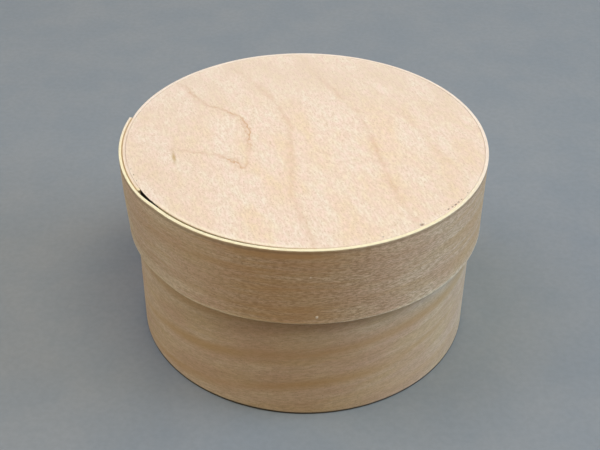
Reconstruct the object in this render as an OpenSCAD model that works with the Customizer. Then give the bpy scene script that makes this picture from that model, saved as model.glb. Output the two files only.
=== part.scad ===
// Round bentwood box with a lift-off lid.
// Two veneer strips are bent to a ring, each round its own flat disc, with the ends lapped and glued.
// The origin is the centre of the base's underside and +Z points up through the lid.
// Lengths are in millimetres and angles in degrees, counter-clockwise from +X seen from above.

/* [Box] */
// Diameter of the base panel
base_d = 112; // [60:1:240]
// Thickness of the base panel
base_t = 3; // [2:0.5:6]
// Height of the strip that makes the box's side
box_h = 66.5; // [45:0.5:120]
// Thickness of the box's strip
box_strip_t = 1.2; // [0.8:0.1:2]
// Length of the lap in the box's strip
box_lap = 40; // [20:1:60]
// Direction of the inner end of the box's strip
box_seam = 110; // [0:5:355]

/* [Lid] */
// Thickness of the lid panel
lid_t = 3; // [2:0.5:6]
// Height of the strip that makes the lid's rim
lid_h = 28; // [10:0.5:40]
// Thickness of the lid's strip
lid_strip_t = 1.2; // [0.8:0.1:2]
// Length of the lap in the lid's strip
lid_lap = 44; // [20:1:60]
// Direction of the inner end of the lid's strip
lid_seam = 211; // [0:1:359]

/* [Fits] */
// Clearance between the lid's strip and the lap of the box's strip
lid_play = 0.3; // [0.2:0.05:1]
// Width of the glue line between a disc and the strip round it
disc_line = 0.05; // [0.03:0.01:0.1]
// Width of the glue line between the two layers of a lap
lap_line = 0.1; // [0.05:0.01:0.2]
// Bevel sanded on the edges of both discs
bevel = 0.2; // [0.1:0.05:0.5]

/* [Step of the lap] */
// Gap that is left between disc and strip where the strip isn't glued down
slack = 0.35; // [0.1:0.05:0.6]
// Length of the wedge gap behind the inner end
wedge_run = 11; // [6:0.5:20]
// Distance from the inner end to where the strip lies tight on its disc
settle_run = 64; // [40:1:80]
// Length over which the slack closes before that place
ease_run = 35; // [20:1:40]

/* [Hidden] */

// Facets of a full circle, and the spacing of the points along the loose stretch of a strip
$fn = 240;
point_gap = 1.6;

// Inside radii of the two strips where they lie on their discs
box_core_r = base_d / 2 + disc_line;
box_lap_r = box_core_r + lap_line + 2 * box_strip_t;
lid_core_r = box_lap_r + lid_play;

// The lid's disc rests on the top edge of the box's strip
lid_panel_z = box_h;
top_z = lid_panel_z + lid_t;
lid_band_z = top_z - lid_h;

// Angle that an arc of a given length covers at radius r
function arc_angle(length, r) = length / r * 180 / PI;

// Step from 0 to 1 that starts and ends level
function ease(x) = let (c = min(max(x, 0), 1)) c * c * (3 - 2 * c);

// How far a strip of thickness t stands off its disc at a distance d past the place where it lay tight:
// first a fine slack, then a wedge that opens to one full layer where the strip climbs over its inner end
function stand_off(d, t) =
    slack * ease(d / ease_run)
    + (t + lap_line - slack) * ease((d - settle_run + wedge_run) / wedge_run);

// Outline of the loose stretch and the outer layer of the lap, clockwise from the tight place on +X
function loose_outline(r, t, lap) =
    let (
        length = settle_run + lap,
        steps = ceil(length / point_gap),
        places = [for (i = [0:steps]) length * i / steps],
        radii = [for (d = places) r + stand_off(d, t)],
        angles = [for (d = places) -arc_angle(d, r)]
    )
    concat(
        [for (i = [0:steps]) radii[i] * [cos(angles[i]), sin(angles[i])]],
        [for (i = [steps:-1:0]) (radii[i] + t) * [cos(angles[i]), sin(angles[i])]]
    );

// Strip bent once round a disc, inside radius r, and on over its own inner end, which lies at angle seam
module bent_strip(r, t, h, lap, seam) {
    loose_angle = arc_angle(settle_run, r);
    rotate([0, 0, seam + loose_angle]) {
        rotate_extrude(angle = 360 - loose_angle)
            translate([r, 0])
                square([t, h]);
        linear_extrude(h)
            polygon(loose_outline(r, t, lap));
    }
}

// Flat disc glued inside a strip whose inside radius is r
module disc(r, t) {
    edge = r - disc_line;
    rotate_extrude()
        polygon([[0, 0], [edge - bevel, 0], [edge, bevel], [edge, t - bevel], [edge - bevel, t], [0, t]]);
}

module lid_panel() {
    color("bisque")
        translate([0, 0, lid_panel_z])
            disc(lid_core_r, lid_t);
}

module lid_band() {
    color("burlywood")
        translate([0, 0, lid_band_z])
            bent_strip(lid_core_r, lid_strip_t, lid_h, lid_lap, lid_seam);
}

module box_band() {
    color("tan")
        bent_strip(box_core_r, box_strip_t, box_h, box_lap, box_seam);
}

module base_panel() {
    color("wheat")
        disc(box_core_r, base_t);
}

lid_panel();
lid_band();
box_band();
base_panel();
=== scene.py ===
# %% [markdown]
# This lesson dresses a round bentwood box: two strips of veneer, each bent round a flat wooden disc.
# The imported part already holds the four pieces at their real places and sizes, so it is loaded first.
# Everything made below is measured from those pieces, and nothing in the part itself is moved.

import math

import bmesh
import bpy
import numpy as np
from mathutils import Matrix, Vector


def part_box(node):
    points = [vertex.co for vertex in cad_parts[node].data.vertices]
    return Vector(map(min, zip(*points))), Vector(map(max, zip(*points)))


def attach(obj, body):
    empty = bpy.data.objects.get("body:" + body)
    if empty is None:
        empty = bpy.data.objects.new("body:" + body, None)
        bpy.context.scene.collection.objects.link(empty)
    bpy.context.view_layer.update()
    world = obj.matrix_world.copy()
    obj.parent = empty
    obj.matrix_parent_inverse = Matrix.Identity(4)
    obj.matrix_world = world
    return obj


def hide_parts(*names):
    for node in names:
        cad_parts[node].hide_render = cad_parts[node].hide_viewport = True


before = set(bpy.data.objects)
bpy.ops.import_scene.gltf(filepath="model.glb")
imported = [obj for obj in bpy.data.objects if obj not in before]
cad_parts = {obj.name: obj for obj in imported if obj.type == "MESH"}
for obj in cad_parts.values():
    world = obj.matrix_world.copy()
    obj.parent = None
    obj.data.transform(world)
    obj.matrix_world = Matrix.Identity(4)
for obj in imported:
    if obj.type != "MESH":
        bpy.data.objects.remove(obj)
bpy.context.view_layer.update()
print("nodes:", sorted(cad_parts))

# %% [markdown]
# The sizes that matter are the radius of each disc, the thickness of the strips and the heights.
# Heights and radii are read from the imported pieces, so the dressed box keeps to them if the part changes.
# The thickness of the strips and the fine glue lines can't be read from a box, so they are written here.

# %% Read the sizes
MM = 0.001
lid_disc_low, lid_disc_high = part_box("lid_panel")
base_disc_low, base_disc_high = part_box("base_panel")
lid_strip_low, lid_strip_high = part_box("lid_band")
box_strip_low, box_strip_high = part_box("box_band")
lid_height = lid_strip_high.z - lid_strip_low.z
box_height = box_strip_high.z - box_strip_low.z

disc_line = 0.05 * MM
lap_line = 0.1 * MM
strip_thickness = 1.2 * MM
sanded_off = 0.015 * MM
lid_core = lid_disc_high.x + disc_line
box_core = base_disc_high.x + disc_line
print(f"lid's strip is bent to {lid_core / MM:.2f} mm, the box's strip to {box_core / MM:.2f} mm")

# %% [markdown]
# The camera stands in front of the box, not quite 40 cm away, and looks down at it by 37 degrees.
# Its place was worked out from the two ellipses of the lid and the curve of the base in the picture.
# A lens of about 65 mm on a full-frame sensor gives the picture's gentle narrowing towards the base.

# %% Camera
camera_data = bpy.data.cameras.new("camera")
camera_data.lens = 64.7
camera_data.sensor_width = 36.0
camera = bpy.data.objects.new("camera", camera_data)
camera.location = (0.0, -0.30162, 0.25900)
camera.rotation_euler = [math.radians(a) for a in (53.283, -0.418, 0.595)]
bpy.context.scene.collection.objects.link(camera)
bpy.context.scene.camera = camera
print(f"camera: {camera.location.length / MM:.0f} mm from the middle of the foot")

# %% [markdown]
# Colours are easiest to judge on a screen, from 0 to 255, while Blender counts light in straight numbers.
# One small helper turns the first into the second, so that every colour below can be written as it looks.

# %% Colours as a painter would name them
def paint(red, green, blue):
    """A colour given as it looks on a screen, turned into Blender's linear numbers."""
    return tuple(
        (c / 12.92 if c <= 0.04045 else ((c + 0.055) / 1.055) ** 2.4)
        for c in (red / 255, green / 255, blue / 255)
    ) + (1.0,)


print("a grey of 128 on the screen is", round(paint(128, 128, 128)[0], 3), "in light")

# %% [markdown]
# Materials here are built from nodes, and node code soon fills with the same few steps.
# These helpers start a material, add a node, feed a socket with a number or another node, and do sums.
# A sum finds its node tree from the sockets that it is given, so the tree needn't be named each time.

# %% Helpers for nodes and sums
def new_material(name):
    """A new material, its node tree and its shader."""
    material = bpy.data.materials.new(name)
    material.use_nodes = True
    return material, material.node_tree, material.node_tree.nodes["Principled BSDF"]


def add(tree, kind, **settings):
    node = tree.nodes.new(kind)
    for name, value in settings.items():
        setattr(node, name, value)
    return node


def feed(socket, value):
    if isinstance(value, bpy.types.NodeSocket):
        socket.id_data.links.new(value, socket)
    else:
        socket.default_value = value


def tree_of(*values):
    """The node tree that these sockets belong to. Plain numbers among them are passed over."""
    return next(value.id_data for value in values if isinstance(value, bpy.types.NodeSocket))


def calc(operation, *values):
    node = add(tree_of(*values), "ShaderNodeMath", operation=operation)
    for socket, value in zip(node.inputs, values):
        feed(socket, value)
    return node.outputs[0]


def times(first, second):
    return calc("MULTIPLY", first, second)


def plus(first, second):
    return calc("ADD", first, second)


def minus(first, second):
    return calc("SUBTRACT", first, second)


def bell(x):
    """A soft hump: 1 where x is 0, and almost 0 where it is beyond -2 or 2."""
    return calc("EXPONENT", times(times(x, x), -1.0))


# %% [markdown]
# These helpers stretch a value, mix two colours and make a cloud of noise. The last one lays the nodes out
# in columns, so that the tree can be read when it is opened in Blender.

# %% Helpers for colours and clouds
def spread(value, low, high):
    """Stretch a value so that low becomes 0 and high becomes 1, softly at both ends."""
    node = add(tree_of(value), "ShaderNodeMapRange", interpolation_type="SMOOTHSTEP")
    feed(node.inputs["Value"], value)
    feed(node.inputs["From Min"], low)
    feed(node.inputs["From Max"], high)
    return node.outputs[0]


def mix(amount, first, second):
    node = add(tree_of(amount, first, second), "ShaderNodeMix", data_type="RGBA")
    feed(node.inputs[0], amount)
    feed(node.inputs[6], first)
    feed(node.inputs[7], second)
    return node.outputs[2]


def cloud(vector, detail, roughness):
    node = add(tree_of(vector), "ShaderNodeTexNoise")
    feed(node.inputs["Vector"], vector)
    node.inputs["Scale"].default_value = 1.0
    node.inputs["Detail"].default_value = detail
    node.inputs["Roughness"].default_value = roughness
    return node.outputs[0]


def lay_out(tree):
    column = {node: 0 for node in tree.nodes}
    for _ in tree.nodes:
        for link in tree.links:
            column[link.from_node] = max(column[link.from_node], column[link.to_node] + 1)
    filled = {}
    for node, place in column.items():
        row = filled.get(place, 0)
        node.location = (-220 * place, -260 * row)
        filled[place] = row + 1


# %% [markdown]
# The box stands on a plain sheet of grey card that fills the picture from every side.
# Card isn't quite even, so two faint clouds, one broad and one fine, tint it here and there.

# %% Floor
floor_half = 3.0
corners = [(-floor_half, -floor_half, 0), (floor_half, -floor_half, 0),
           (floor_half, floor_half, 0), (-floor_half, floor_half, 0)]
floor_mesh = bpy.data.meshes.new("floor")
floor_mesh.from_pydata(corners, [], [(0, 1, 2, 3)])
floor = bpy.data.objects.new("floor", floor_mesh)
bpy.context.scene.collection.objects.link(floor)
card, card_tree, card_shader = new_material("grey_card")
card_place = add(card_tree, "ShaderNodeTexCoord").outputs["Object"]


def card_cloud(puffs_per_metre, detail):
    scaled = add(card_tree, "ShaderNodeVectorMath", operation="SCALE")
    feed(scaled.inputs[0], card_place)
    scaled.inputs["Scale"].default_value = puffs_per_metre
    return spread(cloud(scaled.outputs[0], detail, 0.6), 0.3, 0.7)


card_tone = mix(card_cloud(35.0, 4.0), paint(129, 136, 141), paint(135, 140, 143))
pulp = times(card_cloud(450.0, 3.0), 0.12)
card_tone = mix(pulp, card_tone, paint(95, 98, 100))
feed(card_shader.inputs["Base Color"], card_tone)
card_shader.inputs["Roughness"].default_value = 0.9
card_shader.inputs["Specular IOR Level"].default_value = 0.2
lay_out(card_tree)
floor_mesh.materials.append(card)
print("floor:", 2 * floor_half, "m square")

# %% [markdown]
# The light is that of a bright room: a cool lamp from the right, a plain one from the left, three from high
# up, a warm one from behind and a faint one in front. All are large, so shadows are soft and the front is in
# mild shade. Each lamp is named by its direction, and its colour is the red, green and blue light it sends.

# %% Lamps
lamp_side = 0.7
lamp_distance = 1.2
lamp_watts = 10
lit_point = Vector((0, 0, 0.04))


def soft_lamp(name, azimuth, height, light):
    """A square lamp that looks at the box. Azimuth is counted from +X, height above the floor in degrees."""
    strongest = max(light)
    lamp_data = bpy.data.lights.new(name, "AREA")
    lamp_data.shape = "SQUARE"
    lamp_data.size = lamp_side
    lamp_data.energy = lamp_watts * strongest
    lamp_data.color = [part / strongest for part in light]
    lamp = bpy.data.objects.new(name, lamp_data)
    a = math.radians(azimuth)
    e = math.radians(height)
    away = Vector((math.cos(a) * math.cos(e), math.sin(a) * math.cos(e), math.sin(e)))
    lamp.location = lit_point + away * lamp_distance
    lamp.rotation_mode = "QUATERNION"
    lamp.rotation_quaternion = away.to_track_quat("Z", "Y")
    bpy.context.scene.collection.objects.link(lamp)


soft_lamp("lamp_right", 0, 20, (0.52, 0.80, 1.15))
soft_lamp("lamp_left", 180, 20, (0.44, 0.45, 0.38))
soft_lamp("lamp_high_right", 0, 68, (0.26, 0.22, 0.18))
soft_lamp("lamp_high_left", 180, 68, (0.36, 0.39, 0.54))
soft_lamp("lamp_high_front", 300, 68, (0.79, 0.74, 0.60))
soft_lamp("lamp_back", 90, 20, (0.55, 0.48, 0.38))
soft_lamp("lamp_low_front", 270, 20, (0.12, 0.07, 0.01))
world = bpy.data.worlds.new("room")
world.use_nodes = True
world.node_tree.nodes["Background"].inputs["Color"].default_value = (0.0, 0.0, 0.0, 1.0)
bpy.context.scene.world = world
bpy.context.scene.view_settings.view_transform = "Standard"
print(len(bpy.data.lights), "lamps,", lamp_distance, "m from the box")

# %% [markdown]
# A strip that is bent round a disc lies tight on it, but near the lap it has to climb over its own end.
# So for a short way it stands a hair off the disc, then opens a wedge and steps up by one thickness.
# One rule gives that distance at every point along the strip, and both strips use it.

# %% How far a strip stands off its disc
slack = 0.35 * MM
wedge_run = 11 * MM
settle_run = 64 * MM
ease_run = 35 * MM


def ease(x):
    c = np.clip(x, 0.0, 1.0)
    return c * c * (3 - 2 * c)


def between(x, start, rise, end, fall):
    """0 up to start, 1 after a soft rise, and 0 again from end on, after a soft fall."""
    return ease((x - start) / rise) * ease((end - x) / fall)


def stand_off(past):
    """Distance from the disc, at a distance past the place where the strip last lay tight."""
    climb = strip_thickness + lap_line - slack
    return slack * ease(past / ease_run) + climb * ease((past - settle_run + wedge_run) / wedge_run)


def strip_course(core, seam, runs):
    """Angle and inside radius of a strip at distances `runs` from its inner end, going clockwise."""
    past = runs - (2 * math.pi * core - settle_run)
    angle = math.radians(seam) - runs / core
    radius = core + np.where(past > 0, stand_off(past), 0.0)
    return angle, radius


print(f"a strip climbs {stand_off(settle_run) / MM:.2f} mm to lie on its own end")

# %% [markdown]
# Both ends of a strip are shaved thinner, so that the lap isn't too thick. On the lid the lap was also
# pressed in below the disc while the glue was wet, so there the strip leans towards the middle of the box.

# %% How a lap is shaved and pressed in
thinned = 0.14 * MM
lap_drawn_in = 0.05 * MM
inner_taper = 6 * MM
outer_taper = 8 * MM
press_depth = 1.3 * MM
press_starts_below_rim = 3.2 * MM


def shaved(runs, lap, length):
    """How much thinner the strip is towards its inner end and towards its outer end."""
    inner_end = 1 - ease((runs - lap) / inner_taper)
    outer_end = ease((runs - length + lap + outer_taper) / outer_taper)
    return thinned * inner_end, thinned * outer_end


def pressed_in(azimuth, up, height):
    """How far the lid's lap leans in below the disc. It is most at the lower edge, under the lap."""
    pressed_height = height - press_starts_below_rim
    return press_depth * between(azimuth, 150, 25, 236, 28) * np.clip(1 - up / pressed_height, 0, 1) ** 1.4


def upright(azimuth, up, height):
    """The box's strip doesn't lean at all."""
    return np.zeros_like(azimuth + up)


def run_at(core, seam, azimuth):
    """Distance along the strip from its inner end to a direction in degrees."""
    return np.radians((seam - np.asarray(azimuth, float)) % 360) * core


deepest = pressed_in(np.arange(360.0), 0.0, lid_height).max()
print(f"a lap's ends are shaved by {thinned / MM:.2f} mm, the lid's lap leans in by {deepest / MM:.2f} mm")

# %% [markdown]
# Nothing made by hand is quite even. Slow, repeatable waves stand in for the maker's small errors.
# They are sums of a few sines with fixed phases, so every run of the lesson gives the same box.

# %% Small errors of the hand
def drift(x, length, seed):
    """A smooth wave between 0 and 1 whose swings are about `length` long."""
    pick = np.random.default_rng(seed)
    shares = (1.0, 0.6, 0.4, 0.25)
    total = np.zeros_like(x)
    for share in shares:
        step = length * share * pick.uniform(0.8, 1.25)
        total += share * np.sin(2 * math.pi * (x / step + pick.uniform()))
    return 0.5 + 0.5 * total / sum(shares)


def drift_round(angle, seed):
    """The same kind of wave round a circle, so that it meets itself."""
    pick = np.random.default_rng(seed)
    counts = range(1, 7)
    total = sum(np.sin(k * angle + pick.uniform(0, 6.3)) / k for k in counts)
    return 0.5 + 0.5 * total / sum(1 / k for k in counts)


def bump(x):
    """One smooth rise from 0 at -1 to 1 at 0 and back to 0 at 1."""
    return np.clip(1 - x ** 2, 0, None) ** 2


def soft_line(x, middle, half_width):
    """1 on the middle of a line, fading away on both sides of it."""
    return np.exp(-((x - middle) / half_width) ** 2)


swings = drift(np.linspace(0, 1, 1001), 60 * MM, 1)
print(f"along a metre of wood a drift swings between {swings.min():.2f} and {swings.max():.2f}")

# %% [markdown]
# A mesh is easiest to control when its points come from a plain grid of numbers.
# This helper turns such points into an object and stores the marks that the finishes read later.
# It turns all faces outward, and lets flat faces win over the small rounded edges when light is shaded.

# %% Turn points into a piece
def make_piece(name, points, faces, marks, body, finish, node=None):
    """An object with its marks and finish. It rides on a body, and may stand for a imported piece."""
    mesh = bpy.data.meshes.new(name)
    mesh.from_pydata(points.tolist(), [], faces)
    for label, values in marks.items():
        kind, field = ("FLOAT_VECTOR", "vector") if values.ndim == 2 else ("FLOAT", "value")
        attribute = mesh.attributes.new(label, kind, "POINT")
        attribute.data.foreach_set(field, values.astype(np.float32).ravel())
    work = bmesh.new()
    work.from_mesh(mesh)
    bmesh.ops.recalc_face_normals(work, faces=work.faces)
    work.to_mesh(mesh)
    work.free()
    mesh.shade_smooth()
    mesh.materials.append(finish)
    piece = bpy.data.objects.new(name, mesh)
    bpy.context.scene.collection.objects.link(piece)
    piece.modifiers.new("even_shading", "WEIGHTED_NORMAL").keep_sharp = True
    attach(piece, body)
    if node:
        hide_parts(node)
    print(f"{name}: {len(mesh.vertices)} points, {len(mesh.polygons)} faces")


# %% [markdown]
# The strip's section is a thin upright rectangle whose four edges are rounded by sanding. Its loop of points
# starts in the middle of the lower edge and goes once round, so that points i and -i face each other.

# %% Section of a strip
strip_width = strip_thickness - sanded_off


def rounded(radius, count):
    """Points of a rounded corner, each as (in from the side, in from the end), from the end to the side."""
    corner = np.radians(np.linspace(0, 90, count))
    return [(radius * (1 - math.sin(a)), radius * (1 - math.cos(a))) for a in corner]


def strip_section(height, rows, low_round, high_round):
    """Points (across, up) of the section's loop, from the middle of the lower edge round to it again."""
    side = [(0.0, z) for z in rows]
    high = [(x, height - z) for x, z in reversed(rounded(high_round, 5))]
    rim = [(0.27 * strip_width, height), (strip_width / 2, height)]
    half = [(strip_width / 2, 0.0), *rounded(low_round, 5), *side, *high, *rim]
    other = [(strip_width - x, z) for x, z in reversed(half[1:-1])]
    return np.array(half + other)


print(f"section: {strip_width / MM:.3f} mm thick")

# %% [markdown]
# Points crowd together where something small happens: at both ends of the strip and round each speck.
# Elsewhere they stand about a millimetre apart, which is enough for a smooth bend. Strips and discs are both
# grids of points that close on themselves in one direction, so one helper makes the faces between them.

# %% Where the points stand
def crowd(start, end, step, centres, reach, fine):
    """Evenly spaced numbers, with finer ones within `reach` of each centre."""
    numbers = [np.linspace(start, end, int(abs(end - start) / step) + 1)]
    for centre in centres:
        numbers.append(np.arange(centre - reach, centre + reach, fine))
    joined = np.unique(np.round(np.concatenate(numbers), 7))
    return joined[(joined >= start) & (joined <= end)]


def grid_faces(shape):
    """Numbers of the points of a grid whose rows close on themselves, and the faces between the rows."""
    ids = np.arange(shape[0] * shape[1]).reshape(shape)
    faces = np.stack([ids[:-1], ids[1:], np.roll(ids[1:], -1, 1), np.roll(ids[:-1], -1, 1)], -1)
    return ids, faces.reshape(-1, 4).tolist()


end_round = 0.15 * MM


def strip_stations(length, height, speck_runs, speck_ups):
    """Distances along a strip, and heights on its side, at which its points stand."""
    end_steps = end_round * np.array([0, 0.08, 0.3, 0.6, 1.0, 2.5])
    runs = crowd(0, length, 0.9 * MM, speck_runs, 1.0 * MM, 0.15 * MM)
    runs = np.unique(np.round(np.concatenate([runs, end_steps, length - end_steps]), 7))
    near = np.array([0.38, 0.55, 0.75, 0.95, 1.2, 1.6, 2.1]) * MM
    rows = crowd(2.8 * MM, height - 2.8 * MM, 1.0 * MM, speck_ups, 1.0 * MM, 0.15 * MM)
    return runs, np.unique(np.concatenate([near, rows, height - near]))


stations, rows = strip_stations(2 * math.pi * lid_core, lid_height, [], [])
print(f"once round the lid: {len(stations)} stations along the strip, {len(rows)} rows up its side")

# %% [markdown]
# The strip itself is its section carried along the course of the strip, station by station.
# The saw left a small rounded edge at both ends, so the section shrinks a little there.
# Every point keeps a note of its place in the wood: how far along, how far up and how deep.

# %% Sweep a strip
wave_depth = 0.04 * MM
flare_height = 0.9 * MM


def hollows(runs, up, outside, height, seed, flare, specks, speck_runs):
    """How far the outer side lies in above the flared lower edge, and where its flecks are."""
    sunk = wave_depth * drift(runs, 45 * MM, seed + 2)[:, None] * np.sin(math.pi * up / height) * outside
    sunk = sunk + flare * (1 - soft_line(up, 0, flare_height)) * outside
    fleck = np.zeros_like(up)
    for (_, speck_up, size, depth), run in zip(specks, speck_runs):
        dent = bump(np.hypot(runs[:, None] - run, up - speck_up) / size) * outside
        sunk = sunk + depth * dent
        fleck = np.maximum(fleck, dent)
    return sunk, fleck


def bent_strip(core, lap, seam, height, foot, seed, uneven, rounds, specks, lean, flare):
    """Points, faces and marks of a strip. Its lap may lean in, and its lower edge stands out by `flare`."""
    length = 2 * math.pi * core + lap
    speck_runs = [run_at(core, seam, speck[0]) for speck in specks]
    runs, rows = strip_stations(length, height, speck_runs, [speck[1] for speck in specks])
    section = strip_section(height, rows, *rounds)
    angle, radius = strip_course(core, seam, runs)
    to_end = np.clip(np.minimum(runs, length - runs) / end_round, 0, 1)
    inset = end_round * (1 - np.sqrt(1 - (1 - to_end) ** 2))[:, None]
    across = np.clip(section[None, :, 0], inset, strip_width - inset)
    up = np.clip(section[None, :, 1], inset, height - inset)
    low = uneven[0] * drift(runs, 75 * MM, seed + 1)
    top = height - uneven[1] * drift(runs, 60 * MM, seed)
    z = foot + low[:, None] + up / height * (top - low)[:, None]
    outside = across > strip_width / 2
    sunk, fleck = hollows(runs, up, outside, height, seed, flare, specks, speck_runs)
    inner_end, outer_end = shaved(runs, lap, length)
    slim = 1 - (inner_end + outer_end) / strip_width
    drawn_in = (thinned + lap_drawn_in) * outer_end / thinned
    r = (radius - drawn_in)[:, None] + across * slim[:, None] - sunk
    r = r - lean(np.degrees(angle)[:, None] % 360, up, height)
    points = np.stack([r * np.cos(angle)[:, None], r * np.sin(angle)[:, None], z], -1)
    ids, faces = grid_faces(up.shape)
    n = up.shape[1]
    for row in (ids[0], ids[-1]):
        for i in range(n // 2):
            quad = [row[i], row[i + 1], row[(n - i - 1) % n], row[(n - i) % n]]
            faces.append([int(v) for v in dict.fromkeys(quad)])
    place = np.stack([np.broadcast_to(runs[:, None], up.shape), up, across], -1)
    found = strip_marks(place, radius - core, to_end, height, lap, length, rounds)
    marks = {"place": place.reshape(-1, 3), "fleck": fleck.ravel()}
    marks.update((label, values.ravel()) for label, values in found.items())
    return points.reshape(-1, 3), faces, marks


# %% [markdown]
# Most marks are numbers between 0 and 1 on every point. They tell the finish where the saw cut across the
# wood, where glue squeezed out between two layers, where the gap beside the disc is painted dark as its
# shade, and where a thin line of painted shade lies just under the sanded upper edge.

# %% Marks on a strip
edge_fade = 1.1 * MM
glue_depth = 0.16 * MM


def strip_marks(place, gap, to_end, height, lap, length, rounds):
    run, up, across = place[..., 0], place[..., 1], place[..., 2]
    below_rim = height - up
    outside = across > strip_width / 2
    to_low = np.where(up < 0.02 * MM, 0.3, 0.65 + up / (4 * rounds[0]))
    to_high = below_rim / (1.2 * rounds[1])
    ends = 0.4 * (to_end < 0.5)[:, None]
    near_top = ease((2.4 * MM - below_rim) / (1 * MM))
    second = run > length - lap
    first = run < lap
    glued = np.where(second, across < glue_depth, first & (across > strip_width - glue_depth))
    glued = np.maximum(glued, 0.3 * first * (below_rim < 0.02 * MM))
    loose = ease((gap[:, None] - 0.1 * MM) / (0.15 * MM)) * ~second
    return {
        "cut": np.maximum(np.clip(1.3 - np.minimum(to_low, to_high), 0, 1), ends),
        "edge": np.exp(-np.minimum(up, below_rim) / edge_fade),
        "glue": glued * near_top,
        # Painted shade: near black on the inner face where the strip stands off its disc.
        "stain": loose * ~outside * near_top * (below_rim > 0.06 * MM),
        # Painted shade: a thin darker line just under the sanded upper edge.
        "grime": soft_line(below_rim, 0.9 * MM, 0.45 * MM) * outside,
        "grainy": np.ones_like(run),
        "line_soft": np.zeros_like(run),
    }


print(f"an edge's mark fades over {edge_fade / MM:.1f} mm, and glue soaks in {glue_depth / MM:.2f} mm deep")

# %% [markdown]
# A disc is a flat round plate, glued inside its strip. Its face veneer chipped a little at the edge when it
# was sawn, so rings and rays of points crowd together near the chips, and the chips are real hollows.
# The face lies a hair below the rim of the strip, as it does where a disc is pushed in and sanded.

# %% Outline of a disc
disc_bevel = 0.2 * MM
ply_rows = (0.26, 0.3, 0.7, 0.74)


def disc_outline(radius, low, high, chips, dense_rings):
    """Points (radius, height) from the middle of the face, over the edge, to the middle of the underside."""
    plain_rings = [*np.arange(0.4 * MM, radius - 1 * MM, 0.95 * MM), radius - 0.5 * MM]
    rings = plain_rings
    if chips:
        rings = [*crowd(0.4 * MM, radius - 2 * MM, 0.9 * MM, dense_rings, 1.2 * MM, 0.2 * MM),
                 *np.arange(radius - 1.9 * MM, radius - disc_bevel * 1.2, 0.13 * MM)]
    turned = [(radius - x, high - z) for x, z in rounded(disc_bevel, 4)]
    edge = [(radius, high - disc_bevel - t * (high - low - 2 * disc_bevel)) for t in ply_rows]
    upper = [(r, high) for r in rings] + turned
    lower = [(r, low + high - z) for r, z in reversed([(r, high) for r in plain_rings] + turned)]
    return np.array(upper + edge + lower)


plain_outline = disc_outline(lid_disc_high.x, lid_disc_low.z, lid_disc_high.z, [], ())
print("a disc without chips has", len(plain_outline), "points from middle to middle")

# %% [markdown]
# The outline is turned round the middle, ray by ray, and each chip presses its hollow into the grid. The
# same function notes the marks of the disc: the middle layer of its plywood shows darker on the sawn edge.

# %% Make a disc
def disc(radius, low, high, seed, chips, grain_angle, dense_rings=()):
    """Points, faces and marks of a disc. A chip is its direction, radius, length, width and depth."""
    chip_angles = [math.radians(chip[0] % 360) for chip in chips]
    ray_step, chip_reach, chip_step = (math.radians(a) for a in (0.9, 1.6, 0.16))
    rays = crowd(0, 2 * math.pi - 1e-4, ray_step, chip_angles, chip_reach, chip_step)
    outline = disc_outline(radius, low, high, chips, dense_rings)
    shape = (len(outline), len(rays))
    r = np.broadcast_to(outline[:, :1], shape)
    z = np.broadcast_to(outline[:, 1:], shape)
    rise = (z - low) / (high - low)
    z = z - np.where(rise > 0.5, (0.03 + 0.08 * drift_round(rays, seed)) * MM, 0.0)
    stain = np.zeros_like(z)
    # A chip's hollow is painted dark too, partly as glue and partly as the shade inside it.
    for azimuth, chip_radius, long, wide, sink in chips:
        around = (np.mod(rays - math.radians(azimuth) + math.pi, 2 * math.pi) - math.pi) * chip_radius
        hollow = bump(np.hypot(around / long, (r - chip_radius) / wide)) * (rise > 0.5)
        z = z - sink * hollow
        stain = np.maximum(stain, hollow)
    points = np.stack([r * np.cos(rays), r * np.sin(rays), z], -1).reshape(-1, 3)
    points = np.concatenate([points, [[0, 0, z[0].mean()], [0, 0, low]]])
    ids, faces = grid_faces(shape)
    top_mid, low_mid = len(points) - 2, len(points) - 1
    for i in range(len(rays)):
        j = (i + 1) % len(rays)
        faces.append([top_mid, int(ids[0, i]), int(ids[0, j])])
        faces.append([low_mid, int(ids[-1, j]), int(ids[-1, i])])
    turn = math.radians(grain_angle)
    along = points[:, 0] * math.cos(turn) + points[:, 1] * math.sin(turn)
    beside = points[:, 0] * math.sin(turn) - points[:, 1] * math.cos(turn)
    to_edge = radius - np.hypot(points[:, 0], points[:, 1])
    middle_ply = np.abs((points[:, 2] - low) / (high - low) - 0.5) < 0.15
    marks = {
        "place": np.stack([along, beside, points[:, 2]], -1),
        "cut": np.where(to_edge < disc_bevel * 0.5, np.where(middle_ply, 0.6, 1.0), 0.0),
        "edge": np.exp(-to_edge / edge_fade),
        "stain": np.append(stain.ravel(), [0.0, 0.0]),
        "grainy": np.ones(len(points)),
    }
    for label in ("glue", "line_soft", "grime", "cream", "streak", "fleck"):
        marks[label] = np.zeros(len(points))
    return points, faces, marks
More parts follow.
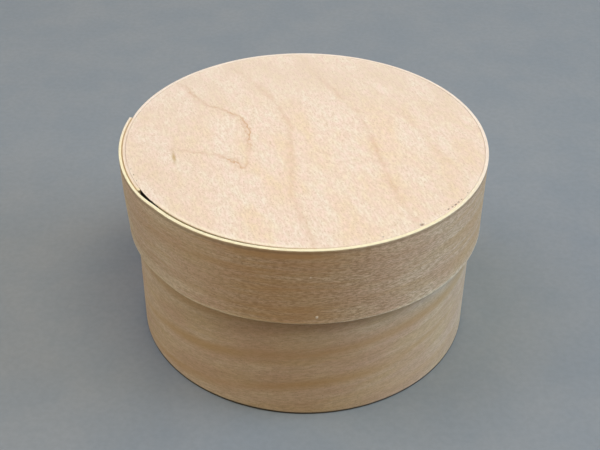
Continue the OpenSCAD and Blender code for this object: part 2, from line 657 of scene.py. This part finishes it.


# %% [markdown]
# Rotary-cut veneer shows growth lines as slow curves, because the knife slices the log in a spiral.
# The lid's four clearest curves are drawn as points with a strength each; 1 is the lid's radius.
# Each point of the mesh then learns how far it lies from the nearest curve, and the finish draws the line.

# %% Curves of the lid's face
lid_curves = [
    [(-1.1, 0.86, 0), (-0.7, 0.57, 0.5), (-0.66, 0.46, 0.7), (-0.6, 0.37, 0.6), (-0.49, 0.32, 0.8),
     (-0.41, 0.26, 0.9), (-0.34, 0.19, 1), (-0.32, 0.09, 1), (-0.3, -0.01, 0.8), (-0.3, -0.11, 0.25),
     (-0.31, -0.23, 0.3), (-0.33, -0.32, 0.9), (-0.37, -0.23, 0.8), (-0.46, -0.18, 0.5), (-0.57, -0.15, 0.6),
     (-0.69, -0.13, 0.4), (-0.78, -0.1, 0.2), (-1.1, -0.05, 0)],
    [(-0.56, 0.95, 0.1), (-0.4, 0.74, 0.5), (-0.26, 0.56, 0.6), (-0.15, 0.33, 0.6), (-0.09, 0.17, 0.5),
     (-0.07, -0.12, 0.5), (-0.06, -0.41, 0.55), (-0.07, -0.52, 0.5), (-0.02, -0.67, 0.55),
     (0.03, -0.85, 0.5), (0.1, -1.1, 0.2)],
    [(-0.08, 1.1, 0.1), (0.05, 0.74, 0.45), (0.17, 0.54, 0.5), (0.23, 0.4, 0.5), (0.32, 0.25, 0.5),
     (0.36, 0.04, 0.6), (0.4, -0.16, 0.55), (0.43, -0.35, 0.5), (0.49, -0.55, 0.45), (0.56, -0.77, 0.4),
     (0.64, -1.0, 0.2)],
    [(0.1, 1.1, 0.1), (0.23, 0.8, 0.25), (0.34, 0.64, 0.3), (0.43, 0.53, 0.3), (0.57, 0.25, 0.35),
     (0.66, 0.07, 0.35), (0.71, -0.09, 0.35), (0.8, -0.27, 0.3), (0.9, -0.5, 0.1)],
]


def softened(curve):
    """The same curve with its corners cut three times over."""
    for _ in range(3):
        before, after = curve[:-1], curve[1:]
        curve = np.stack([0.75 * before + 0.25 * after, 0.25 * before + 0.75 * after], 1).reshape(-1, 3)
    return curve


def nearest_curve(points, curves):
    """Signed distance to the nearest curve for each point, that curve's strength there, and its number."""
    best = np.full(len(points), np.inf)
    gap = np.zeros(len(points))
    strength = np.zeros(len(points))
    number = np.zeros(len(points), int)
    for i, curve in enumerate(curves):
        for start, end in zip(curve[:-1], curve[1:]):
            step = end[:2] - start[:2]
            out = points - start[:2]
            t = np.clip(out @ step / (step @ step), 0, 1)
            distance = np.hypot(*(out - t[:, None] * step).T)
            closer = distance < best
            side = np.sign(step[0] * out[:, 1] - step[1] * out[:, 0])
            best[closer] = distance[closer]
            gap[closer] = (distance * side)[closer]
            strength[closer] = (start[2] + t * (end[2] - start[2]))[closer]
            number[closer] = i
    return gap, strength, number


print(len(lid_curves), "curves through", sum(len(curve) for curve in lid_curves), "drawn points")

# %% [markdown]
# The hidden faces of the discs aren't seen in the picture, and the strips show their lines only faintly. So
# these growth lines are made up: nested arches that open along the grain, each with a strength of its own.

# %% Made-up growth lines
line_count = 400


def nested_lines(along, beside, spacing, bend, sway, seed):
    """Signed distance to the nearest of a set of nested arches, and that arch's strength."""
    pick = np.random.default_rng(seed)
    slow = drift(along, 90 * MM, seed) + 0.5 * drift(along + beside, 35 * MM, seed + 1) - 0.75
    field = (beside + sway * slow + bend * along ** 2) / spacing
    field = field + 0.25 * np.sin(field * 1.7 + pick.uniform(0, 6))
    line = np.round(field)
    gap = (field - line) * spacing / np.sqrt(1 + (2 * bend * along) ** 2)
    strengths = pick.uniform(0.15, 0.6, line_count)
    return gap, strengths[(line.astype(int) + line_count // 2) % line_count]


print("each made-up line takes its strength from a list of", line_count)

# %% [markdown]
# The side of the box has broad ochre streaks that climb to the right, and the lid's side has thinner ones.
# A streak is written as half its width in millimetres, then a list of places along its middle: direction in
# degrees, height in millimetres, strength. A half width of 60 mm tints the whole height of the strip. Some
# streaks are painted shade rather than colour of the wood.

# %% Streaks in the strips
def streak_mark(place, core, seam, streaks):
    total = np.zeros(len(place))
    for half_width, line in streaks:
        line = np.array(line, float)
        runs = run_at(core, seam, line[:, 0])
        order = np.argsort(runs)
        middle = np.interp(place[:, 0], runs[order], line[order, 1] * MM)
        strength = np.interp(place[:, 0], runs[order], line[order, 2], left=0, right=0)
        total += strength * soft_line(place[:, 1], middle, half_width * MM)
    return np.clip(total, 0, 1)


# %% [markdown]
# An effect is a node group with named inputs and outputs. It is built once and placed in every wood, and
# most of what it does starts from a cloud of noise that is stretched along the grain.

# %% Helpers for effects
def new_group(name, takes, gives):
    """An empty node group. A value of None stands for a direction or place in space."""
    tree = bpy.data.node_groups.new(name, "ShaderNodeTree")
    for label, value in takes.items():
        kind = "NodeSocketVector" if value is None else "NodeSocketFloat"
        socket = tree.interface.new_socket(label, in_out="INPUT", socket_type=kind)
        if value is not None:
            socket.default_value = value
    for label in gives:
        tree.interface.new_socket(label, in_out="OUTPUT", socket_type="NodeSocketFloat")
    return tree, add(tree, "NodeGroupInput").outputs, add(tree, "NodeGroupOutput").inputs


def close_group(tree):
    lay_out(tree)
    print("effect", tree.name, "with", len(tree.nodes), "nodes")


def grain_cloud(taken, long, wide, detail, roughness, sway=0.0, seed=None):
    """A cloud at the group's place in the wood, with puffs `long` along the grain and `wide` across it."""
    if seed is None:
        seed = taken["Seed"]
    tree = tree_of(taken["Place"])
    parts = add(tree, "ShaderNodeSeparateXYZ")
    feed(parts.inputs[0], taken["Place"])
    joined = add(tree, "ShaderNodeCombineXYZ")
    feed(joined.inputs[0], calc("DIVIDE", parts.outputs[0], long))
    feed(joined.inputs[1], calc("DIVIDE", plus(parts.outputs[1], sway), wide))
    feed(joined.inputs[2], plus(calc("DIVIDE", parts.outputs[2], wide), seed))
    return cloud(joined.outputs[0], detail, roughness)


# %% [markdown]
# Wood shows fine fibres wherever it is cut along the grain, with short dark pores between them.
# Both are one cloud texture, stretched along the grain and seen at two sizes. Every wood here uses it.

# %% Effect: fibres and pores
fibres, taken, given = new_group(
    "wood_fibres",
    {"Place": None, "Length": 6 * MM, "Width": 0.4 * MM, "Waver": 0.6 * MM, "Seed": 0.0},
    ["Fibre", "Pore"],
)
slow = grain_cloud(taken, 30 * MM, 12 * MM, 1.0, 0.5)
waver = times(minus(slow, 0.5), taken["Waver"])
fine = grain_cloud(taken, taken["Length"], taken["Width"], 3.0, 0.6, waver)
feed(given["Fibre"], spread(fine, 0.34, 0.66))
pore_long = times(taken["Length"], 0.3)
pore_wide = times(taken["Width"], 0.6)
pore_seed = plus(taken["Seed"], 17.0)
pores = grain_cloud(taken, pore_long, pore_wide, 0.0, 0.5, waver, pore_seed)
feed(given["Pore"], spread(pores, 0.64, 0.74))
close_group(fibres)

# %% [markdown]
# A growth line is thin and brown, with a soft tint on its older side. Fibres cross it, so it runs in small
# jags, and fainter copies of it lie beside it. The group takes the distance to the line, shifts it with a
# cloud, and gives the line with its copies, and the tint.

# %% Effect: growth lines
jag = 4.5 * MM
copy_spacing = 1.1 * MM
copies_reach = 2.4 * MM
newer_side = 0.6 * MM
growth, taken, given = new_group(
    "growth_lines",
    {"Place": None, "Gap": 0.0, "Strength": 1.0, "Line Width": 0.5 * MM, "Tint Width": 5 * MM,
     "Copies": 0.0, "Seed": 0.0},
    ["Line", "Tint"],
)
fray = grain_cloud(taken, 3.5 * MM, 1.8 * MM, 2.5, 0.6)
gap = plus(taken["Gap"], times(minus(fray, 0.5), jag))
thin_line = bell(calc("DIVIDE", gap, taken["Line Width"]))
broken = grain_cloud(taken, 7 * MM, 5 * MM, 2.0, 0.5)
lasting = plus(times(spread(broken, 0.35, 0.58), 0.7), 0.3)
main_line = times(thin_line, lasting)
wave = calc("COSINE", times(gap, 2 * math.pi / copy_spacing))
near = bell(calc("DIVIDE", gap, copies_reach))
here = spread(grain_cloud(taken, 6 * MM, 6 * MM, 1.0, 0.5, seed=40.0), 0.48, 0.62)
copies = times(times(spread(wave, -0.4, 1.0), near), here)
lines = plus(main_line, times(copies, taken["Copies"]))
feed(given["Line"], times(lines, taken["Strength"]))
older = spread(calc("DIVIDE", gap, taken["Tint Width"]), -1.0, 0.0)
newer = minus(1.0, spread(gap, 0.0, newer_side))
both = times(older, newer)
feed(given["Tint"], times(both, taken["Strength"]))
close_group(growth)

# %% [markdown]
# No board has one colour. Broad clouds, long along the grain, let one tone drift into another.

# %% Effect: drifting tone
tones, taken, given = new_group(
    "tone_drift", {"Place": None, "Length": 50 * MM, "Width": 8 * MM, "Seed": 0.0}, ["Tone"])
broad = grain_cloud(taken, taken["Length"], taken["Width"], 3.0, 0.55)
feed(given["Tone"], spread(broad, 0.32, 0.68))
close_group(tones)

# %% [markdown]
# Hands and tables rub the edges: a sharp edge turns a little paler and smoother, in patches.
# The mark "edge" is 1 on the very edge and fades within a few millimetres, and a cloud breaks it up.

# %% Effect: worn edges
wear, taken, given = new_group(
    "edge_wear", {"Place": None, "Edge": 0.0, "Amount": 0.5, "Seed": 0.0}, ["Wear"])
patch = grain_cloud(taken, 9 * MM, 4 * MM, 3.0, 0.6)
rubbed = times(spread(patch, 0.3, 0.7), taken["Edge"])
feed(given["Wear"], times(rubbed, taken["Amount"]))
close_group(wear)

# %% [markdown]
# All four woods are the same kind of veneer, so one recipe makes them and each brings its own values.
# The colour is laid on in this order: tone, growth, fibres, pores and streaks, some of them painted shade,
# then worn edges, the pale sawn edges and lines of painted shade, and last glue, painted shade in gaps and
# hollows and at the foot, where it is also dirt, and pale flecks.

# %% Recipe for the colour of a wood
streak_strength = 0.9
sawn_fibre, sawn_edge, glue_strength = 0.2, 0.97, 0.8
pale_fleck = paint(255, 243, 224)


def mark(tree, name, output="Fac"):
    """A mark that the points of the mesh carry."""
    return add(tree, "ShaderNodeAttribute", attribute_name=name).outputs[output]


def place_effect(tree, group, **values):
    """A group placed in a material. An underscore stands for the blank in a socket's name."""
    node = add(tree, "ShaderNodeGroup", node_tree=group)
    for label, value in values.items():
        feed(node.inputs[label.replace("_", " ")], value)
    return node.outputs


def wood_colour(tree, seed, colours, fibre, drifting, amounts):
    """The colour of a wood, and the two effects that its sheen and relief use as well."""
    place = mark(tree, "place", "Vector")

    def lay(amount, strength, onto, label):
        return mix(times(amount, strength), onto, colours[label])

    def tone_cloud(long, wide, number):
        return place_effect(tree, tones, Place=place, Length=long, Width=wide, Seed=number)["Tone"]

    tone = tone_cloud(*drifting[:2], seed)
    colour = mix(tone, colours["pale"], colours["warm"])
    colour = lay(tone_cloud(*drifting[2:], seed + 2), amounts["blush"], colour, "blush")
    softer = plus(1.0, times(mark(tree, "line_soft"), 1.3))
    lines = place_effect(tree, growth, Place=place, Gap=mark(tree, "line_gap"),
                         Strength=mark(tree, "line_strength"),
                         Line_Width=times(softer, amounts["line_width"]),
                         Tint_Width=amounts["tint_width"], Copies=amounts["copies"], Seed=seed + 3)
    colour = lay(lines["Tint"], amounts["tint"], colour, "line")
    colour = lay(lines["Line"], calc("DIVIDE", amounts["line"], softer), colour, "line")
    grain = place_effect(tree, fibres, Place=place, Length=fibre[0], Width=fibre[1], Seed=seed + 5)
    fibre_amount = times(mark(tree, "grainy"), amounts["fibre"])
    colour = lay(grain["Fibre"], fibre_amount, colour, "fibre")
    colour = lay(grain["Pore"], amounts["pore"], colour, "pore")
    patchy = amounts["patchy"]
    patches = plus(times(tone, patchy), streak_strength - patchy / 2)
    # The streak mark is partly painted shade.
    broken = times(mark(tree, "streak"), patches)
    colour = lay(broken, amounts["streak"], colour, "streak")
    worn = place_effect(tree, wear, Place=place, Edge=mark(tree, "edge"),
                        Amount=amounts["wear"], Seed=seed + 9)["Wear"]
    colour = mix(worn, colour, colours["cut"])
    sawn = mix(mark(tree, "cream"), colours["cut"], colours["cream"])
    sawn = lay(grain["Fibre"], sawn_fibre, sawn, "fibre")
    colour = mix(times(mark(tree, "cut"), sawn_edge), colour, sawn)
    # A line of painted shade under the rim and under the lid's edge.
    colour = lay(mark(tree, "grime"), amounts["grime"], colour, "grime")
    colour = lay(mark(tree, "glue"), glue_strength, colour, "glue")
    # Painted shade in gaps and hollows, near black; at the foot it is also dirt.
    colour = mix(mark(tree, "stain"), colour, colours["stain"])
    colour = mix(mark(tree, "fleck"), colour, pale_fleck)
    return colour, grain, worn


# %% [markdown]
# The fibres and pores that colour the wood also lie a hair lower than the rest, and the fibres dull it a
# little. A rubbed edge is smoother, so it shines a little more.

# %% Recipe for a wood
fibre_dulls, wear_smooths = 0.12, 0.1
relief_depth = 0.12 * MM


def wood(name, seed, colours, fibre, drifting, amounts, roughness):
    material, tree, shader = new_material(name)
    colour, grain, worn = wood_colour(tree, seed, colours, fibre, drifting, amounts)
    feed(shader.inputs["Base Color"], colour)
    rough = plus(roughness, times(grain["Fibre"], fibre_dulls))
    feed(shader.inputs["Roughness"], minus(rough, times(worn, wear_smooths)))
    relief = add(tree, "ShaderNodeBump")
    relief.inputs["Strength"].default_value = amounts["relief"]
    relief.inputs["Distance"].default_value = relief_depth
    height = minus(1.0, times(grain["Fibre"], 0.5))
    feed(relief.inputs["Height"], minus(height, times(grain["Pore"], 0.5)))
    feed(shader.inputs["Normal"], relief.outputs[0])
    shader.inputs["Specular IOR Level"].default_value = 0.4
    lay_out(tree)
    print("finish", name, "with", len(tree.nodes), "nodes")
    return material


# %% [markdown]
# The discs are faced with a pinkish cream veneer, and the strips are a shade browner.

# %% Finishes of the two discs
def paints(**looks):
    return {label: paint(*look) for label, look in looks.items()}


# On the lid's face the streak colour paints shade on its far side and flanks, and the darkest colour paints
# the shade in the gap and the chips.
disc_colours = paints(
    pale=(230, 217, 198), warm=(228, 206, 174), blush=(230, 201, 187), line=(194, 148, 108),
    fibre=(209, 184, 156), pore=(198, 170, 140), streak=(207, 191, 174), cut=(236, 221, 206),
    cream=(240, 231, 199), grime=(176, 146, 110), glue=(180, 152, 104), stain=(30, 24, 16),
)
disc_amounts = {"line_width": 0.55 * MM, "tint_width": 2.5 * MM, "copies": 0.55, "tint": 0.22,
                "line": 0.75, "fibre": 0.48, "pore": 0.6, "streak": 0.6, "patchy": 1.0, "blush": 0.65,
                "wear": 0.35, "grime": 0.0, "relief": 0.3}
disc_fibre = (2 * MM, 0.7 * MM)
disc_drift = (20 * MM, 8 * MM, 4 * MM, 2.5 * MM)
lid_face_wood = wood("lid_face_wood", 2.0, disc_colours, disc_fibre, disc_drift, disc_amounts, 0.6)
base_face_wood = wood("base_face_wood", 31.0, disc_colours, disc_fibre, disc_drift, disc_amounts, 0.62)

# %% [markdown]
# The strips share their colours, but the lid's is a little paler and shows its fibres more clearly. The
# numbers in brackets are the length and width of a fibre, and of the two clouds that shift the tone.

# %% Finishes of the two strips
# The darkest colour here paints shade in the gaps and at the foot, the brown line colour paints shade under
# the rim and the lid's edge, and the streak colour is partly painted shade.
strip_colours = paints(
    pale=(228, 202, 170), warm=(216, 185, 142), blush=(214, 174, 146), line=(173, 135, 97),
    fibre=(172, 138, 102), pore=(150, 118, 86), streak=(200, 156, 105), cut=(236, 221, 205),
    cream=(241, 232, 194), grime=(140, 108, 72), glue=(205, 168, 112), stain=(16, 12, 8),
)
strip_amounts = {"line_width": 0.5 * MM, "tint_width": 5 * MM, "copies": 0.0, "tint": 0.15, "line": 0.3,
                 "fibre": 0.5, "pore": 0.45, "streak": 0.75, "patchy": 1.0, "blush": 0.6, "wear": 0.2,
                 "grime": 0.5, "relief": 0.5}
lid_amounts = {**strip_amounts, "fibre": 0.62}
box_amounts = {**strip_amounts, "fibre": 0.38, "pore": 0.36, "streak": 0.7, "patchy": 0.4}
lid_changes = paints(pale=(233, 209, 178), warm=(217, 187, 147), blush=(218, 179, 152))
lid_colours = {**strip_colours, **lid_changes}
lid_veneer_wood = wood("lid_veneer_wood", 57.0, lid_colours, (1.8 * MM, 0.42 * MM),
                       (40 * MM, 1.9 * MM, 14 * MM, 6 * MM), lid_amounts, 0.58)
box_veneer_wood = wood("box_veneer_wood", 83.0, strip_colours, (2 * MM, 0.5 * MM),
                       (50 * MM, 5 * MM, 20 * MM, 7 * MM), box_amounts, 0.58)

# %% [markdown]
# The saw left eleven small chips in four places on the edge of the lid's face, and a fleck of gum lies in
# the wood on the left. A chip is its direction in degrees, then its radius, length, width and depth in
# millimetres.

# %% Chips and gum on the lid's face
lid_rim = lid_core + strip_thickness
lid_chips = [
    (azimuth, *(size * MM for size in sizes)) for azimuth, *sizes in (
        (199.0, 58.15, 0.4, 0.25, 0.12),
        (202.4, 58.05, 0.5, 0.3, 0.2),
        (206.0, 58.15, 0.4, 0.25, 0.12),
        (293.5, 57.4, 0.5, 0.3, 0.15),
        (306.8, 57.9, 1.1, 0.65, 0.5),
        (318.4, 57.9, 0.7, 0.35, 0.25),
        (320.1, 58.15, 0.6, 0.35, 0.25),
        (321.7, 58.2, 0.9, 0.45, 0.35),
        (323.4, 58.2, 0.7, 0.35, 0.25),
        (325.0, 58.3, 0.5, 0.35, 0.2),
        (329.2, 58.3, 0.5, 0.3, 0.15),
    )
]
gum = [np.array([(-0.716, -0.137, 0.2), (-0.7, -0.2, 1.0), (-0.687, -0.263, 0.2)])]
gum_half_width = 0.9 * MM
print(len(lid_chips), "chips; radius of the lid's rim", round(lid_rim / MM, 2), "mm")

# %% [markdown]
# The lid's face carries the four drawn curves, the chips and the gum. In front on the left the strip
# stands off the disc, and there the disc's edge is painted near black as the shade in the gap, with a glue
# line that is partly painted shade and a creamy band just inside it. The far side and both flanks of the
# face are painted a little greyer than its middle, as shade.

# %% Make the lid's disc
points, faces, marks = disc(lid_disc_high.x, lid_disc_low.z, lid_disc_high.z, 1, lid_chips, 109, [43.8 * MM])
face_up = points[:, 2] > (lid_disc_low.z + lid_disc_high.z) / 2
flat = points[:, :2] / lid_rim
curve_softness = np.array([0.0, 0.7, 0.4, 0.6])
curves = [softened(np.array(curve, float)) for curve in lid_curves]
drawn_gap, drawn_strength, drawn_number = nearest_curve(flat, curves)
along, beside, _ = marks["place"].T
hidden_gap, hidden_strength = nested_lines(along, beside, 14 * MM, 3.0, 6 * MM, 5)
marks["line_gap"] = np.where(face_up, drawn_gap * lid_rim, hidden_gap)
marks["line_strength"] = np.where(face_up, drawn_strength, hidden_strength)
marks["line_soft"] = np.where(face_up, curve_softness[drawn_number], 0.3)
gum_gap, gum_strength, _ = nearest_curve(flat, gum)
gum_stain = 1.2 * gum_strength * bump(gum_gap * lid_rim / gum_half_width) * face_up
azimuth = np.degrees(np.arctan2(points[:, 1], points[:, 0])) % 360
# Painted shade: in the open gap the disc's edge is painted near black.
in_gap = between(azimuth, 209, 1.5, 285, 40) * (points[:, 2] < lid_disc_high.z - 0.12 * MM)
marks["stain"] = np.maximum(marks["stain"] * 0.7, in_gap * (marks["cut"] > 0))
to_edge = lid_disc_high.x - np.hypot(points[:, 0], points[:, 1])
# Along the open gap the disc's edge gets a glue line that is partly painted shade.
squeezed_glue_and_shade = between(azimuth, 217, 4, 292, 30) * face_up
marks["glue"] = np.maximum(gum_stain, 0.9 * squeezed_glue_and_shade * ease((0.45 * MM - to_edge) / (0.2 * MM)))
bright = between(azimuth, 214, 10, 277, 16) * face_up
marks["cream"] = bright * soft_line(to_edge, 1.0 * MM, 0.5 * MM)
marks["cut"] = np.maximum(marks["cut"], 0.6 * marks["cream"])
right, back = flat.T
# Painted shade: the far side and both flanks are tinted greyer than the middle.
far_side_shade = 0.5 * ease((back - 0.05) / 0.7) + 0.25 * ease((-right - 0.3) / 0.5)
marks["streak"] = far_side_shade + 0.15 * ease((right - 0.4) / 0.4)
marks["grainy"] = 1.15 - 0.25 * ease((back - 0.2) / 0.5)
make_piece("lid_face", points, faces, marks, "lid", lid_face_wood, "lid_panel")

# %% [markdown]
# The base's disc is made by the same rule. It has no chips, and its grain runs in another direction.

# %% Make the base's disc
points, faces, marks = disc(base_disc_high.x, base_disc_low.z, base_disc_high.z, 2, [], 62)
along, beside, _ = marks["place"].T
marks["line_gap"], marks["line_strength"] = nested_lines(
    along, beside + points[:, 2] * 2, 15 * MM, 2.5, 6 * MM, 8)
make_piece("base_face", points, faces, marks, "box", base_face_wood, "base_panel")

# %% [markdown]
# The lid's strip: its inner end lies at 211 degrees, in front on the left, and it laps over itself by 44 mm.
# Its sawn edge is creamy yellow in front and pinkish at the back, where another part of the log shows.
# A speck is its direction in degrees, its height, its size and its depth; one with a minus stands proud.

# %% Make the lid's strip
def front_cream(run, core, seam, start, end):
    """1 where the strip runs through the front, from one direction to another, and 0 at the back."""
    azimuth = (seam - np.degrees(run / core)) % 360
    inner = (run > 1.5 * MM) & (run < 46 * MM)
    return between(azimuth, start, 32, end, 50) * ~inner


lid_seam = 211
lid_lap = 44 * MM
whole_height = 60.0
lid_specks = [(273.9, 2.9 * MM, 0.6 * MM, -0.2 * MM), (272.0, 18.2 * MM, 0.4 * MM, 0.08 * MM)]
lid_streaks = [
    (1.6, [(205, 19.0, 0.0), (218, 19.8, 0.3), (240, 20.2, 0.35), (255, 20.0, 0.3), (268, 19.8, 0.0)]),
    (0.7, [(258, 13.2, 0.0), (266, 13.7, 0.4), (276, 13.5, 0.3), (284, 13.0, 0.0)]),
    (0.7, [(262, 5.2, 0.0), (270, 5.6, 0.3), (278, 5.4, 0.0)]),
    (1.8, [(225, 25.8, 0.0), (245, 26.2, 0.25), (272, 26.0, 0.35), (288, 25.8, 0.2), (296, 25.8, 0.0)]),
    # The two whole-height tints below are painted shade, darkening the lid's side in front and on the right.
    (whole_height, [(236, 14, 0.0), (246, 14, 0.15), (258, 14, 0.5), (272, 14, 0.52), (285, 14, 0.0)]),
    (whole_height, [(312, 14, 0.0), (322, 14, 0.35), (336, 14, 0.65), (355, 14, 0.65), (50, 14, 0.0)]),
]
points, faces, marks = bent_strip(
    lid_core, lid_lap, lid_seam, lid_height, lid_strip_low.z, seed=11, uneven=(0.15 * MM, 0.08 * MM),
    rounds=(0.22 * MM, 0.15 * MM), specks=lid_specks, lean=pressed_in, flare=0.07 * MM)
run, up, across = marks["place"].T
past_seam = np.degrees(run / lid_core)
rubbed = soft_line(up, 0.5 * MM, 0.3 * MM) * (across > strip_width / 2)
rubbed *= 0.35 - 0.35 * between(past_seam, 268, 14, 318, 14)
marks["cut"] = np.maximum(marks["cut"], rubbed)
marks["cream"] = front_cream(run, lid_core, lid_seam, 160, 356)
marks["line_gap"], marks["line_strength"] = nested_lines(run - 190 * MM, up, 3.2 * MM, 0.04, 1.2 * MM, 12)
marks["streak"] = streak_mark(marks["place"], lid_core, lid_seam, lid_streaks)
marks["grainy"] = 0.8 + 0.35 * ease((past_seam - 90) / 90) + 0.2 * ease((past_seam - 270) / 15)
marks["grainy"] -= 0.65 * ease((past_seam - 313) / 20)
make_piece("lid_veneer", points, faces, marks, "lid", lid_veneer_wood, "lid_band")

# %% [markdown]
# The box's strip laps at the back. Its foot is painted dark, as dirt and as the shadow where it meets the
# floor, and a faint brown line of painted shade lies just below the edge of the lid.

# %% Make the box's strip
box_seam = 110
box_lap = 40 * MM
box_streaks = [
    (2.0, [(185, 14.0, 0.0), (207, 17.5, 0.7), (221, 19.8, 0.9), (236, 21.6, 0.9), (255, 25.0, 1.0),
           (274, 26.6, 1.0), (292, 28.8, 1.0), (311, 30.8, 1.0), (325, 32.2, 0.8), (0, 34.0, 0.0)]),
    (2.0, [(186, 1.0, 0.0), (200, 3.0, 0.6), (224, 5.3, 0.9), (240, 6.9, 0.9), (257, 10.6, 0.9),
           (267, 12.8, 0.9), (280, 14.4, 0.8), (299, 15.9, 0.6), (315, 19.9, 0.5), (350, 24.0, 0.0)]),
    # The next two bands are painted shade: warmer, darker wood where the lid's shadow falls.
    (2.2, [(200, 35.5, 0.0), (218, 36.5, 0.4), (245, 37.5, 0.4), (262, 38.0, 0.3), (290, 38.0, 0.4),
           (306, 38.0, 0.4), (318, 38.0, 0.0)]),
    (2.6, [(255, 32.0, 0.0), (266, 32.0, 0.3), (278, 32.5, 0.25), (290, 33.0, 0.0)]),
    (2.2, [(292, 5.0, 0.0), (306, 6.0, 0.35), (330, 8.0, 0.5), (350, 10.0, 0.0)]),
    (2.5, [(0, 36.0, 0.0), (30, 30.0, 0.6), (60, 24.0, 0.5), (85, 21.0, 0.0)]),
    (2.5, [(5, 12.0, 0.0), (40, 9.0, 0.5), (70, 7.0, 0.4), (95, 6.0, 0.0)]),
    (2.5, [(118, 30.0, 0.0), (140, 27.0, 0.5), (165, 24.0, 0.5), (190, 21.0, 0.0)]),
]
points, faces, marks = bent_strip(
    box_core, box_lap, box_seam, box_height, box_strip_low.z, seed=21, uneven=(0.25 * MM, 0.12 * MM),
    rounds=(0.3 * MM, 0.15 * MM), specks=[], lean=upright, flare=0.0)
run, up, across = marks["place"].T
marks["cream"] = front_cream(run, box_core, box_seam, 190, 350)
slanting = up + 0.12 * (run - 200 * MM)
marks["line_gap"], marks["line_strength"] = nested_lines(run - 200 * MM, slanting, 7 * MM, 0.04, 2 * MM, 22)
marks["streak"] = streak_mark(marks["place"], box_core, box_seam, box_streaks)
outer_side = across > strip_width / 2
# Painted shadow and dirt: the lowest millimetre of the outside is darkened almost to black.
foot_dirt_and_shadow = 0.9 * ease((0.95 * MM - up) / (0.4 * MM)) * outer_side
marks["stain"] = np.maximum(marks["stain"], foot_dirt_and_shadow)
# Painted shade: a brown line just below the lid's edge, a little weaker in front.
less = 1 - 0.45 * between(np.degrees(run / box_core), 160, 12, 218, 12)
lid_edge_shade = less * soft_line(up, lid_strip_low.z - 2.2 * MM, 0.7 * MM) * outer_side
marks["grime"] = np.maximum(marks["grime"], lid_edge_shade)
marks["place"] = np.stack([run, slanting, across], -1)
make_piece("box_veneer", points, faces, marks, "box", box_veneer_wood, "box_band")

# %% [markdown]
# Glue fills the fine lines between disc and strip and between the two layers of each lap. Where the lid's
# strip stands off, it is a darker olive that is partly painted shade, and only the centimetre of that gap
# next to the lap is open.
# It is a thin wall whose top lies just under the rim, so that it shows as a line and not as a dark slot.

# %% Finish of the dried glue
glue_wood, glue_tree, glue_shader = new_material("dried_glue")
glue_place = add(glue_tree, "ShaderNodeTexCoord").outputs["Object"]
glue_tone = place_effect(glue_tree, tones, Place=glue_place, Length=4 * MM, Width=3 * MM, Seed=3.0)["Tone"]
glue_pale = mix(glue_tone, paint(236, 216, 190), paint(220, 190, 146))
# The olive tone is partly painted shade where the lid's strip stands off.
glue_olive_and_shade = mix(glue_tone, paint(158, 136, 80), paint(124, 104, 54))
glue_colour = mix(mark(glue_tree, "olive"), glue_pale, glue_olive_and_shade)
feed(glue_shader.inputs["Base Color"], glue_colour)
glue_rough = plus(0.45, times(glue_tone, 0.15))
feed(glue_shader.inputs["Roughness"], glue_rough)
lay_out(glue_tree)
print("finish", glue_wood.name, "with", len(glue_tree.nodes), "nodes")

# %% [markdown]
# A glue line is a thin wall that follows its strip. The same code makes the one round the disc and the one
# in the lap, where it has to lean in with the pressed lap.

# %% Pour the glue lines
grown = 0.01 * MM
round_stations, lap_stations = 420, 60


def glue_wall(core, seam, runs, inner, outer, levels, lean, foot, height):
    """Points and faces of a thin wall that follows a strip, between two radii that may change on the way."""
    angle = math.radians(seam) - runs / core
    azimuth = np.degrees(angle) % 360
    loop = [(inner, z) for z in levels] + [(outer, z) for z in levels[::-1]]
    sides = []
    for r, z in loop:
        leaning = r - lean(azimuth, z - foot, height)
        sides.append(np.stack([leaning * np.cos(angle), leaning * np.sin(angle), np.full_like(runs, z)], -1))
    n = len(runs)
    m = len(loop)
    faces = [[a * n + i, b * n + i, b * n + i + 1, a * n + i + 1]
             for a, b in zip(range(m), [*range(1, m), 0]) for i in range(n - 1)]
    for a in range(m // 2 - 1):
        for i in (0, n - 1):
            faces.append([a * n + i, (a + 1) * n + i, (m - a - 2) * n + i, (m - a - 1) * n + i])
    return np.concatenate(sides), faces, np.tile(azimuth, m)


def glue_lines(name, core, seam, lap, open_run, disc_levels, lap_levels, body, olive, lean, foot,
               height):
    """The line round the disc, up to where it stays open, and the line in the lap, as one piece."""
    round_runs = np.linspace(0.5 * MM, 2 * math.pi * core - open_run, round_stations)
    _, tight = strip_course(core, seam, round_runs)
    first = glue_wall(core, seam, round_runs, core - disc_line - grown, tight + grown,
                      disc_levels, lean, foot, height)
    lap_runs = np.linspace(0.3 * MM, lap - 0.3 * MM, lap_stations)
    under = core + strip_width - thinned - grown
    over = core + strip_thickness + lap_line - thinned - lap_drawn_in + grown
    second = glue_wall(core, seam, lap_runs, under, over, lap_levels, lean, foot, height)
    points = np.concatenate([first[0], second[0]])
    faces = first[1] + [[v + len(first[0]) for v in face] for face in second[1]]
    tint = np.concatenate([olive(first[2]), 0.2 + 0.6 * ease((second[2] - 188) / 18)])
    make_piece(name, points, faces, {"olive": tint}, body, glue_wood)


def lid_olive_and_shade(azimuth):
    """1 where the lid's strip stands off its disc; there the darker olive is partly painted shade."""
    return between(azimuth, 205, 10, 292, 30)


glue_lines("lid_glue", lid_core, lid_seam, lid_lap, wedge_run,
           np.array([lid_disc_low.z + 0.1 * MM, lid_disc_high.z - 0.2 * MM]),
           np.linspace(lid_strip_low.z + 0.25 * MM, lid_strip_high.z - 0.1 * MM, 9),
           "lid", lid_olive_and_shade, pressed_in, lid_strip_low.z, lid_height)
glue_lines("box_glue", box_core, box_seam, box_lap, 0.5 * MM,
           np.array([base_disc_low.z + 0.6 * MM, base_disc_high.z - 0.1 * MM]),
           np.array([box_strip_low.z + 0.6 * MM, box_strip_high.z - 0.15 * MM]),
           "box", np.zeros_like, upright, box_strip_low.z, box_height)
